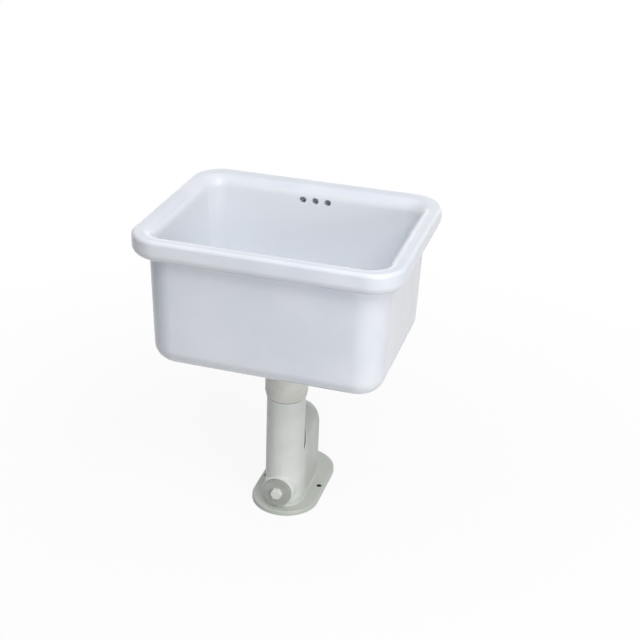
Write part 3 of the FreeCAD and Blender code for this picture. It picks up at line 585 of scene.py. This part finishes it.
def basin_tree():
    """Places every point of the grid on its rounded rectangle, then cuts the overflow: a row of
    round holes, and the duct behind them."""
    tree, given = node_group("basin_shape", ["Overflow bore", "Overflow pitch", "Overflow height",
                                             "Duct width", "Duct gap", "Duct place", "Duct base"])
    middle = add(tree, "GeometryNodeInputNamedAttribute", {"Name": "plan_corner"},
                 data_type="FLOAT_VECTOR")
    turn, reach, height = [add(tree, "GeometryNodeInputNamedAttribute", {"Name": name},
                               data_type="FLOAT") for name in ("turn", "reach", "height")]
    across = add(tree, "ShaderNodeMath", {0: turn}, operation="COSINE")
    along = add(tree, "ShaderNodeMath", {0: turn}, operation="SINE")
    arm = add(tree, "ShaderNodeCombineXYZ", {"X": across, "Y": along})
    arm = add(tree, "ShaderNodeVectorMath", {0: arm, "Scale": reach}, operation="SCALE")
    lift = add(tree, "ShaderNodeCombineXYZ", {"Z": height})
    place = add(tree, "ShaderNodeVectorMath", {0: middle, 1: arm}, operation="ADD")
    place = add(tree, "ShaderNodeVectorMath", {0: place, 1: lift}, operation="ADD")
    shell = add(tree, "GeometryNodeSetPosition", {"Geometry": given["Geometry"],
                                                  "Position": place})

    # The drills start in the bowl and end in the duct, whose top is a little above the holes.
    drill_length, drill_middle, above_holes = 60 * MM, -26 * MM, 8 * MM
    bore, pitch, level = [given[f"Overflow {name}"] for name in ("bore", "pitch", "height")]
    width, gap, front, base = [given[f"Duct {name}"] for name in ("width", "gap", "place", "base")]
    radius = add(tree, "ShaderNodeMath", {0: bore, 1: 0.5}, operation="MULTIPLY")
    drill = add(tree, "GeometryNodeMeshCylinder", {"Vertices": 40, "Radius": radius,
                                                   "Depth": drill_length})
    drill = add(tree, "GeometryNodeTransform", {"Geometry": drill,
                                                "Rotation": (math.pi / 2, 0, 0)})
    back = add(tree, "ShaderNodeMath", {0: front, 1: drill_middle}, operation="ADD")
    first = add(tree, "ShaderNodeMath", {0: pitch, 1: -1.0}, operation="MULTIPLY")
    start = add(tree, "ShaderNodeCombineXYZ", {"X": first, "Y": back, "Z": level})
    apart = add(tree, "ShaderNodeCombineXYZ", {"X": pitch})
    row = add(tree, "GeometryNodeMeshLine", {"Count": 3, "Start Location": start, "Offset": apart})
    drills = add(tree, "GeometryNodeInstanceOnPoints", {"Points": row, "Instance": drill})
    drills = add(tree, "GeometryNodeRealizeInstances", {"Geometry": drills})

    duct_top = add(tree, "ShaderNodeMath", {0: level, 1: above_holes}, operation="ADD")
    duct_run = add(tree, "ShaderNodeMath", {0: duct_top, 1: base}, operation="SUBTRACT")
    duct_sum = add(tree, "ShaderNodeMath", {0: duct_top, 1: base}, operation="ADD")
    duct_mid = add(tree, "ShaderNodeMath", {0: duct_sum, 1: 0.5}, operation="MULTIPLY")
    duct_y = add(tree, "ShaderNodeMath", {0: gap, 1: 0.5, 2: front}, operation="MULTIPLY_ADD")
    duct_size = add(tree, "ShaderNodeCombineXYZ", {"X": width, "Y": gap, "Z": duct_run})
    duct_place = add(tree, "ShaderNodeCombineXYZ", {"Y": duct_y, "Z": duct_mid})
    duct = add(tree, "GeometryNodeMeshCube", {"Size": duct_size})
    duct = add(tree, "GeometryNodeTransform", {"Geometry": duct, "Translation": duct_place})
    cut = add(tree, "GeometryNodeMeshBoolean", {"Mesh 1": shell, "Mesh 2": [drills, duct]},
              operation="DIFFERENCE", solver="EXACT")
    end_group(tree, cut, given["Finish"])
    return tree


def ease_overflow_mouths(piece, sizes, rounding=1.0 * MM, slack=0.05 * MM):
    """Rounds the edge of each overflow hole, as the glaze does."""
    height = sizes.top - sizes.overflow_drop
    radius = sizes.overflow_bore / 2
    wall_front, wall_back = sizes.duct_reach - 25 * MM, sizes.duct_reach - 2 * MM
    work = bmesh.new()
    work.from_mesh(piece.data)

    def on_mouth(point):
        return wall_front < point.y < wall_back and any(
            abs(math.hypot(point.x - shift * sizes.overflow_pitch, point.z - height) - radius)
            < slack for shift in (-1, 0, 1))

    mouth = [edge for edge in work.edges if all(on_mouth(vert.co) for vert in edge.verts)]
    bmesh.ops.bevel(work, geom=mouth, offset=rounding, segments=4, profile=0.5, affect="EDGES",
                    clamp_overlap=True)
    work.to_mesh(piece.data)
    work.free()


class MOPSINK_OT_basin(bpy.types.Operator):
    """Make the china basin, glazed, with its overflow"""
    bl_idname = "mopsink.basin"
    bl_label = "Basin"

    def execute(self, context):
        sizes = context.scene.mopsink_sizes
        glaze = vitreous_china_glaze(context.scene.mopsink_finishes)
        piece = link("basin_glazed", basin_grid(basin_levels(basin_section(sizes))))
        run_group(piece, basin_tree(), {
            "Finish": glaze, "Overflow bore": sizes.overflow_bore,
            "Overflow pitch": sizes.overflow_pitch,
            "Overflow height": sizes.top - sizes.overflow_drop, "Duct width": sizes.duct_width,
            "Duct gap": sizes.duct_gap, "Duct place": sizes.duct_reach,
            "Duct base": sizes.base + sizes.base_round})
        ease_overflow_mouths(piece, sizes)
        settle(piece, glaze, "sink", "basin", angle=50)
        return {"FINISHED"}


# ---------------------------------------------------------------- waste

class MOPSINK_OT_waste(bpy.types.Operator):
    """Make the waste outlet, its locknut and its slip washer"""
    bl_idname = "mopsink.waste"
    bl_label = "Waste"

    def execute(self, context):
        colours = context.scene.mopsink_finishes
        chrome = turned_metal("chrome_plated_brass", colours.chrome, tarnish="#ABAEB0",
                              smoothest=0.16, roughest=0.30)
        brass = turned_metal("turned_brass", colours.brass, tarnish="#8F7A4C", smoothest=0.24,
                             roughest=0.42)
        settle(merged_copy("waste_flange"), chrome, "sink", "waste_flange")
        nut = merged_copy("waste_locknut")
        bevel_edges(nut, 0.5 * MM)
        settle(nut, brass, "sink", "waste_locknut")
        settle(merged_copy("slip_washer"), vulcanised_fibre(colours), "sink", "slip_washer")
        return {"FINISHED"}


def grate_tree():
    """Drills a centre hole and two rings of holes through a disc."""
    tree, given = node_group("grate_holes", ["Bore", "Pitch", "Level"])
    radius = add(tree, "ShaderNodeMath", {0: given["Bore"], 1: 0.5}, operation="MULTIPLY")
    drill = add(tree, "GeometryNodeMeshCylinder", {"Vertices": 28, "Radius": radius,
                                                   "Depth": 12 * MM})
    outer = add(tree, "ShaderNodeMath", {0: given["Pitch"], 1: 2.0}, operation="MULTIPLY")
    centre = add(tree, "GeometryNodeMeshLine", {"Count": 1})
    inner_ring = add(tree, "GeometryNodeMeshCircle", {"Vertices": 6, "Radius": given["Pitch"]})
    outer_ring = add(tree, "GeometryNodeMeshCircle", {"Vertices": 12, "Radius": outer})
    points = add(tree, "GeometryNodeJoinGeometry", {"Geometry": [centre, inner_ring, outer_ring]})
    drills = add(tree, "GeometryNodeInstanceOnPoints", {"Points": points, "Instance": drill})
    drills = add(tree, "GeometryNodeRealizeInstances", {"Geometry": drills})
    lift = add(tree, "ShaderNodeCombineXYZ", {"Z": given["Level"]})
    drills = add(tree, "GeometryNodeTransform", {"Geometry": drills, "Translation": lift})
    cut = add(tree, "GeometryNodeMeshBoolean", {"Mesh 1": given["Geometry"], "Mesh 2": drills},
              operation="DIFFERENCE", solver="EXACT")
    end_group(tree, cut, given["Finish"])
    return tree


class MOPSINK_OT_grate(bpy.types.Operator):
    """Make the loose strainer grate with its rings of holes"""
    bl_idname = "mopsink.grate"
    bl_label = "Grate"

    def execute(self, context):
        sizes = context.scene.mopsink_sizes
        chrome = bpy.data.materials["chrome_plated_brass"]
        low, high, rim = GRATE_LOW.z, GRATE_HIGH.z, GRATE_HIGH.x
        ease = 0.8 * MM
        disc = turned_mesh("grate_disc", [(0, low), (rim - ease, low), (rim, low + ease),
                                          (rim, high - ease), (rim - ease, high), (0, high)])
        piece = link("strainer_grate_piece", disc)
        run_group(piece, grate_tree(), {"Finish": chrome, "Bore": sizes.grate_bore,
                                        "Pitch": sizes.grate_pitch, "Level": (low + high) / 2})
        bevel_edges(piece, 0.3 * MM, segments=2, angle=50)
        settle(piece, chrome, "strainer", "strainer_grate")
        return {"FINISHED"}


# ---------------------------------------------------------------- seals, collar, trap, cleanout

class MOPSINK_OT_seals(bpy.types.Operator):
    """Make the rubber seals between the waste, the basin, the collar, the trap and the floor"""
    bl_idname = "mopsink.seals"
    bl_label = "Seals"

    def execute(self, context):
        rubber = moulded_rubber(context.scene.mopsink_finishes)
        for node in ("flange_seal", "basin_seal", "spigot_seal", "floor_seal"):
            settle(merged_copy(node), rubber, "sink", node)
        return {"FINISHED"}


class MOPSINK_OT_collar(bpy.types.Operator):
    """Make the painted collar between the basin and the trap"""
    bl_idname = "mopsink.collar"
    bl_label = "Collar"

    def execute(self, context):
        colours = context.scene.mopsink_finishes
        paint = painted_cast_iron("painted_iron_collar", colours.collar_paint,
                                  colours.collar_paint_worn, colours.shade_under_basin,
                                  colours.hole_shade_and_joint_band, grit=2.0 * MM, joint=0.0)
        piece = merged_copy("connecting_collar")
        settle(piece, paint, "sink", "connecting_collar", angle=12)
        return {"FINISHED"}


def box_mesh(name, low, high):
    """A box between two corners."""
    mesh = bpy.data.meshes.new(name)
    work = bmesh.new()
    bmesh.ops.create_cube(work, size=1.0)
    for vert in work.verts:
        vert.co = Vector([high[axis] if vert.co[axis] > 0 else low[axis] for axis in range(3)])
    work.to_mesh(mesh)
    work.free()
    return mesh


def cut_away(piece, cutter):
    """Cuts one closed mesh out of another, and drops the cutter."""
    cut = piece.modifiers.new("cut", "BOOLEAN")
    cut.object = cutter
    cut.operation = "DIFFERENCE"
    cut.solver = "EXACT"
    bake_modifiers(piece)
    bpy.data.objects.remove(cutter)


def groove_behind_pipe(trap):
    """Cuts the narrow groove that parts the inlet pipe from the crown. Its cutter is a ring round
    the pipe, less its front half and less the core in which pipe and crown stay joined."""
    pipe, crown, width, slant = 38 * MM, 144.65 * MM, 3 * MM, 16 * MM
    skin, foot, top, far = 0.02 * MM, crown - 22 * MM, 200 * MM, 0.2
    inner, outer, core = pipe + skin, pipe + width, pipe - width
    ring = [(inner, foot), (outer, foot + slant), (outer, top), (inner, top), (inner, foot)]
    cutter = link("groove", turned_mesh("groove", ring))
    # The boxes reach well past the ring on the sides that don't matter.
    front_half = box_mesh("front_half", (-0.1, -0.1, -0.1), (0.1, 0.5 * MM, 0.3))
    low_core = box_mesh("core", (-core, -0.1, -0.1), (core, far, crown))
    round_core = turned_mesh("round_core", [(0, -far), (core, -far), (core, far), (0, far)])
    round_core.transform(Matrix.Translation((0, 0, crown)) @ Matrix.Rotation(math.pi / 2, 4, "X"))
    for name, mesh in (("front_half", front_half), ("core", low_core), ("round_core", round_core)):
        cut_away(cutter, link(name, mesh))
    cut_away(trap, cutter)


class MOPSINK_OT_trap(bpy.types.Operator):
    """Make the painted cast-iron trap"""
    bl_idname = "mopsink.trap"
    bl_label = "Trap"

    def execute(self, context):
        colours = context.scene.mopsink_finishes
        below_collar = 0.8 * MM
        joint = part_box("connecting_collar")[0].z - below_collar
        paint = painted_cast_iron("painted_iron_trap", colours.trap_paint, colours.trap_paint_worn,
                                  colours.shade_under_basin, colours.hole_shade_and_joint_band, grit=2.4 * MM,
                                  joint=joint)
        piece = merged_copy("trap_casting")
        groove_behind_pipe(piece)
        settle(piece, paint, "sink", "trap_casting")
        return {"FINISHED"}


class MOPSINK_OT_cleanout(bpy.types.Operator):
    """Make the cleanout plug and its gasket"""
    bl_idname = "mopsink.cleanout"
    bl_label = "Cleanout"

    def execute(self, context):
        colours = context.scene.mopsink_finishes
        head_height = 8.4 * MM
        flange_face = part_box("cleanout_plug")[0].y + head_height
        paint = painted_brass_plug(colours, flange_face)
        settle(merged_copy("cleanout_plug"), paint, "plug", "cleanout_plug", angle=18)
        rubber = bpy.data.materials["moulded_rubber"]
        settle(merged_copy("cleanout_gasket"), rubber, "plug_gasket", "cleanout_gasket")
        return {"FINISHED"}


# ---------------------------------------------------------------- stage

def soft_box(name, place, size, power, target=(0, 0, 0.3)):
    """An area lamp that faces the target. The power is in watts."""
    lamp = bpy.data.lights.new(name, "AREA")
    lamp.shape = "RECTANGLE"
    lamp.size, lamp.size_y = size
    lamp.energy = power
    holder = bpy.data.objects.new(name, lamp)
    bpy.context.scene.collection.objects.link(holder)
    holder.location = place
    holder.rotation_euler = (Vector(target) - Vector(place)).to_track_quat("-Z", "Y").to_euler()


def make_camera(scene):
    """A standing person's view, a little to the sink's right and looking down."""
    eye = (0.63138, -2.037835, 1.48909)
    data = bpy.data.cameras.new("viewpoint")
    data.sensor_width = 36.0
    data.lens = 70.812
    data.shift_x = 0.0625
    yaw, pitch, roll = 0.308, 0.468, 0.023
    back = Vector((math.sin(yaw) * math.cos(pitch), -math.cos(yaw) * math.cos(pitch),
                   math.sin(pitch)))
    level = (-back).cross(Vector((0, 0, 1))).normalized()
    upright = level.cross(-back)
    right = level * math.cos(roll) + upright * math.sin(roll)
    up = upright * math.cos(roll) - level * math.sin(roll)
    camera = bpy.data.objects.new("viewpoint", data)
    scene.collection.objects.link(camera)
    turn = Matrix((right, up, back)).transposed().to_4x4()
    camera.matrix_world = Matrix.Translation(eye) @ turn
    scene.camera = camera


def make_world(scene, fill, strength):
    """A weak light from all round, which the eye and the gloss see as white."""
    world = bpy.data.worlds.new("studio")
    world.use_nodes = True
    tree = world.node_tree
    tree.nodes.clear()
    soft = add(tree, "ShaderNodeBackground", {"Color": tuple(fill), "Strength": strength})
    white = add(tree, "ShaderNodeBackground", {"Color": WHITE, "Strength": 1.0})
    mixed = add(tree, "ShaderNodeMixShader", {"Fac": seen_plainly(tree), 1: soft, 2: white})
    add(tree, "ShaderNodeOutputWorld", {"Surface": mixed})
    scene.world = world


class MOPSINK_OT_stage(bpy.types.Operator):
    """Make the floor, the lamps, the world and the camera"""
    bl_idname = "mopsink.stage"
    bl_label = "Stage"

    def execute(self, context):
        scene = context.scene
        colours = scene.mopsink_finishes
        scene.view_settings.view_transform = "Standard"
        floor_radius, fill_strength = 14.0, 0.13
        work = bmesh.new()
        bmesh.ops.create_circle(work, cap_ends=True, segments=96, radius=floor_radius)
        mesh = bpy.data.meshes.new("studio_floor")
        work.to_mesh(mesh)
        work.free()
        floor = link("studio_floor", mesh)
        mesh.materials.append(studio_floor(colours.floor))
        soft_box("low_key", place=(1.68, -1.76, 0.75), size=(1.3, 1.0), power=22.5)
        soft_box("high_key", place=(1.34, -1.46, 2.6), size=(1.4, 1.4), power=31.0)
        soft_box("left_side", place=(-2.4, -1.2, 1.2), size=(1.4, 1.4), power=3.0)
        soft_box("behind", place=(-0.3, 2.6, 0.7), size=(3.4, 1.4), power=12.0)
        soft_box("overhead", place=(-0.2, -0.1, 3.0), size=(4.0, 4.0), power=43.0)
        make_world(scene, colours.fill, fill_strength)
        make_camera(scene)
        return {"FINISHED"}


class MOPSINK_PT_panel(bpy.types.Panel):
    """Lists the sink's pieces and what can be changed"""
    bl_label = "Mop Service Sink"
    bl_idname = "MOPSINK_PT_panel"
    bl_space_type = "VIEW_3D"
    bl_region_type = "UI"
    bl_category = "Mop Sink"

    def draw(self, context):
        for operator in OPERATORS:
            self.layout.operator(operator.bl_idname)
        for group in (context.scene.mopsink_sizes, context.scene.mopsink_finishes):
            box = self.layout.box()
            for name in group.__annotations__:
                box.prop(group, name)


OPERATORS = (MOPSINK_OT_basin, MOPSINK_OT_waste, MOPSINK_OT_grate, MOPSINK_OT_seals,
             MOPSINK_OT_collar, MOPSINK_OT_trap, MOPSINK_OT_cleanout, MOPSINK_OT_stage)
CLASSES = (MopSinkSizes, MopSinkFinishes) + OPERATORS + (MOPSINK_PT_panel,)


def register():
    for item in CLASSES:
        bpy.utils.register_class(item)
    bpy.types.Scene.mopsink_sizes = bpy.props.PointerProperty(type=MopSinkSizes)
    bpy.types.Scene.mopsink_finishes = bpy.props.PointerProperty(type=MopSinkFinishes)


def unregister():
    del bpy.types.Scene.mopsink_finishes
    del bpy.types.Scene.mopsink_sizes
    for item in reversed(CLASSES):
        bpy.utils.unregister_class(item)


def main():
    register()
    bpy.ops.mopsink.basin()
    bpy.ops.mopsink.waste()
    bpy.ops.mopsink.grate()
    bpy.ops.mopsink.seals()
    bpy.ops.mopsink.collar()
    bpy.ops.mopsink.trap()
    bpy.ops.mopsink.cleanout()
    bpy.ops.mopsink.stage()


if __name__ == "__main__":
    main()
